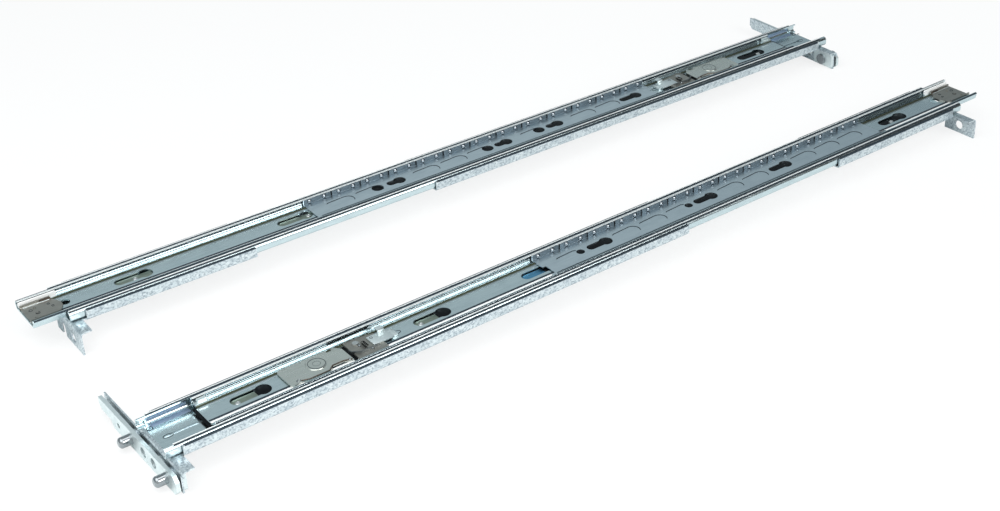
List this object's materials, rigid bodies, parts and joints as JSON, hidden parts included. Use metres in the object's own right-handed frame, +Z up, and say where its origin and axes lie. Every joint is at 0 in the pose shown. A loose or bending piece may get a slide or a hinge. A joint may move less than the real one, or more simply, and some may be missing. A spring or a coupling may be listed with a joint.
{
  "type": "rack server slide rail pair",
  "caption": "Left and right ball-bearing slide rails that carry a server in a rack, with stepped channels, ball cages, release latches and pin-and-hole front plates.",
  "frame": {"origin": "middle of the pair's footprint, on the surface that both rails lie on", "axes": "+X along the rails from the first rail's front plate to its rear end, +Y from the first rail to the second, +Z up out of the open channels"},
  "size_m": [0.678, 0.2486, 0.0241],
  "materials": {
    "zinc_plate": "pale bluish zinc plate, satin",
    "polished_steel": "polished turned steel",
    "galvanised_sheet": "matte hot-dip galvanised, light spangle",
    "slide_steel": "bright zinc plate on rolled steel, polished raceways",
    "fastener_steel": "plain zinc plate",
    "cage_steel": "blue-grey satin zinc plate",
    "ball_steel": "mirror-polished bearing steel",
    "latch_steel": "brown-grey passivated spring steel",
    "lever_steel": "light grey passivated spring steel, brown at the edges",
    "spring_steel": "bare spring steel",
    "buffer_plastic": "pale moulded plastic"
  },
  "bodies": {
    "rails": {"a_pin_plate": "zinc_plate", "a_mounting_pins": "polished_steel", "a_pin_keeper": "zinc_plate", "a_front_bracket": "galvanised_sheet", "a_cabinet_member": "slide_steel", "a_bracket_rivets": "fastener_steel", "a_adjusting_screws": "fastener_steel", "a_adjusting_nuts": "fastener_steel", "b_pin_plate": "zinc_plate", "b_mounting_pins": "polished_steel", "b_pin_keeper": "zinc_plate", "b_front_bracket": "galvanised_sheet", "b_cabinet_member": "slide_steel", "b_bracket_rivets": "fastener_steel", "b_adjusting_screws": "fastener_steel", "b_adjusting_nuts": "fastener_steel"},
    "a_slide": {"a_intermediate_member": "slide_steel", "a_latch_base": "latch_steel", "a_latch_block": "zinc_plate", "a_latch_rivet": "fastener_steel", "a_latch_pivot": "fastener_steel", "a_latch_spring": "spring_steel", "a_rear_stop": "latch_steel", "a_rear_buffer": "buffer_plastic", "a_front_bumper": "zinc_plate"},
    "a_rear_adjuster": {"a_rear_bracket": "galvanised_sheet"},
    "a_outer_cage": {"a_outer_ball_cage": "cage_steel", "a_outer_balls": "ball_steel"},
    "a_inner_cage": {"a_inner_ball_cage": "cage_steel", "a_inner_balls": "ball_steel"},
    "a_latch": {"a_latch_lever": "lever_steel"},
    "b_slide": {"b_intermediate_member": "slide_steel", "b_latch_base": "latch_steel", "b_latch_block": "zinc_plate", "b_latch_rivet": "fastener_steel", "b_latch_pivot": "fastener_steel", "b_latch_spring": "spring_steel", "b_rear_stop": "latch_steel", "b_rear_buffer": "buffer_plastic", "b_front_bumper": "zinc_plate"},
    "b_rear_adjuster": {"b_rear_bracket": "galvanised_sheet"},
    "b_outer_cage": {"b_outer_ball_cage": "cage_steel", "b_outer_balls": "ball_steel"},
    "b_inner_cage": {"b_inner_ball_cage": "cage_steel", "b_inner_balls": "ball_steel"},
    "b_latch": {"b_latch_lever": "lever_steel"}
  },
  "joints": [
    {"name": "a_rear_adjust", "type": "slide", "parent": "rails", "child": "a_rear_adjuster", "axis": [1, 0, 0], "range_m": [-0.037, 0.037]},
    {"name": "a_slide_out", "type": "slide", "parent": "rails", "child": "a_slide", "axis": [-1, 0, 0], "range_m": [0, 0.36]},
    {"name": "a_outer_cage_roll", "type": "slide", "parent": "rails", "child": "a_outer_cage", "axis": [-1, 0, 0], "range_m": [0, 0.18]},
    {"name": "a_inner_cage_roll", "type": "slide", "parent": "a_slide", "child": "a_inner_cage", "axis": [1, 0, 0], "range_m": [-0.1, 0.06]},
    {"name": "a_latch_turn", "type": "hinge", "parent": "a_slide", "child": "a_latch", "pos_m": [-0.22338, -0.08934, 0.0203], "axis": [0, 0, 1], "range_deg": [0, 8], "stiffness_Nm_per_rad": 0.05},
    {"name": "b_rear_adjust", "type": "slide", "parent": "rails", "child": "b_rear_adjuster", "axis": [-0.9998, 0.0215, 0], "range_m": [-0.037, 0.037]},
    {"name": "b_slide_out", "type": "slide", "parent": "rails", "child": "b_slide", "axis": [0.9998, -0.0215, 0], "range_m": [0, 0.36]},
    {"name": "b_outer_cage_roll", "type": "slide", "parent": "rails", "child": "b_outer_cage", "axis": [0.9998, -0.0215, 0], "range_m": [0, 0.18]},
    {"name": "b_inner_cage_roll", "type": "slide", "parent": "b_slide", "child": "b_inner_cage", "axis": [-0.9998, 0.0215, 0], "range_m": [0, 0.165]},
    {"name": "b_latch_turn", "type": "hinge", "parent": "b_slide", "child": "b_latch", "pos_m": [0.22287, 0.06158, 0.0203], "axis": [0, 0, -1], "range_deg": [0, 8], "stiffness_Nm_per_rad": 0.05}
  ],
  "couplings": [
    {"joint": "a_outer_cage_roll", "follows": "a_slide_out", "ratio": 0.5},
    {"joint": "b_outer_cage_roll", "follows": "b_slide_out", "ratio": 0.5}
  ]
}
